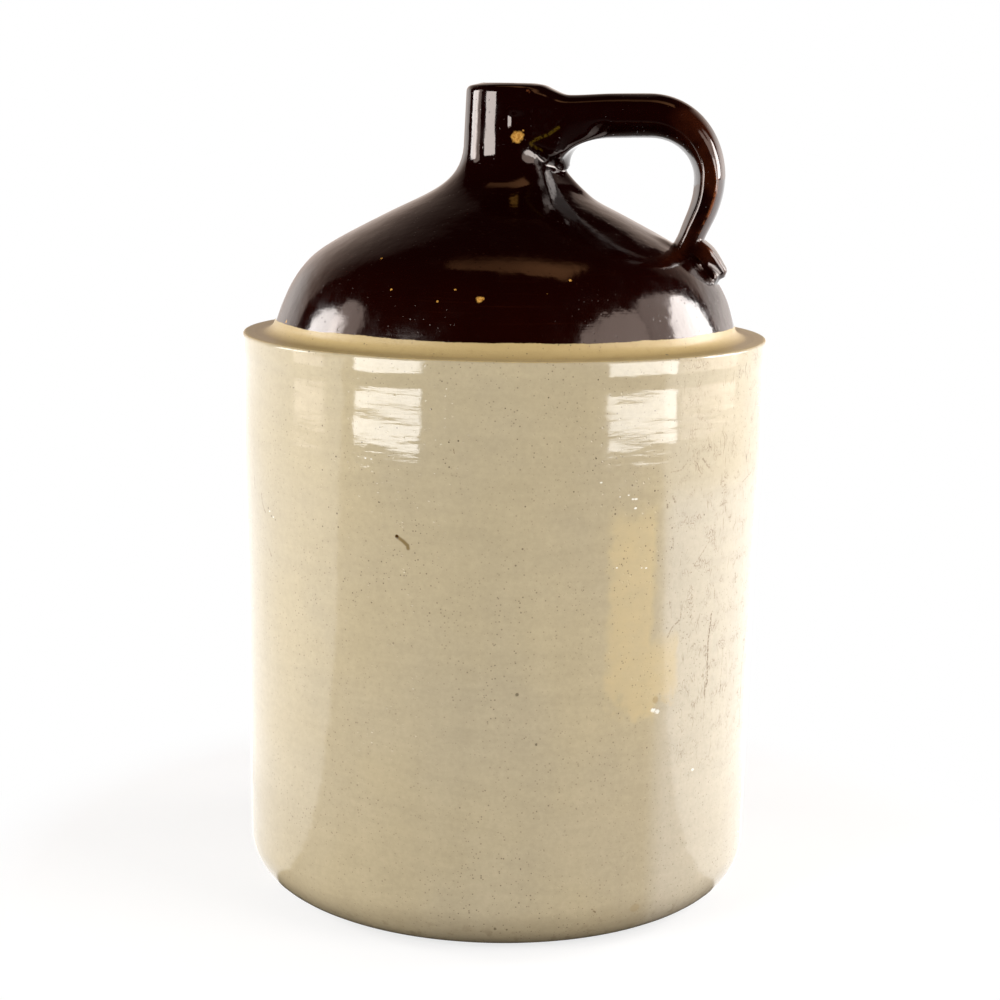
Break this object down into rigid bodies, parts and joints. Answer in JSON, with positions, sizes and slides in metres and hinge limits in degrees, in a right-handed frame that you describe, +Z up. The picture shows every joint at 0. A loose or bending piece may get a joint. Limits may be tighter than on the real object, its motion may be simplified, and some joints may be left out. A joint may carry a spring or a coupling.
{
  "type": "stoneware jug",
  "caption": "Large two-tone stoneware jug: straight cream crock with a bare clay ledge, dark glazed dome shoulder, short plain neck and a strap handle from neck to shoulder.",
  "frame": {"origin": "middle of the base, on the plane it stands on", "axes": "+Z up along the throat, +X from the neck towards the handle"},
  "size_m": [0.2969, 0.297, 0.4572],
  "materials": {
    "stoneware": "gloss"
  },
  "bodies": {
    "root": {"jug": "stoneware"}
  },
  "joints": []
}
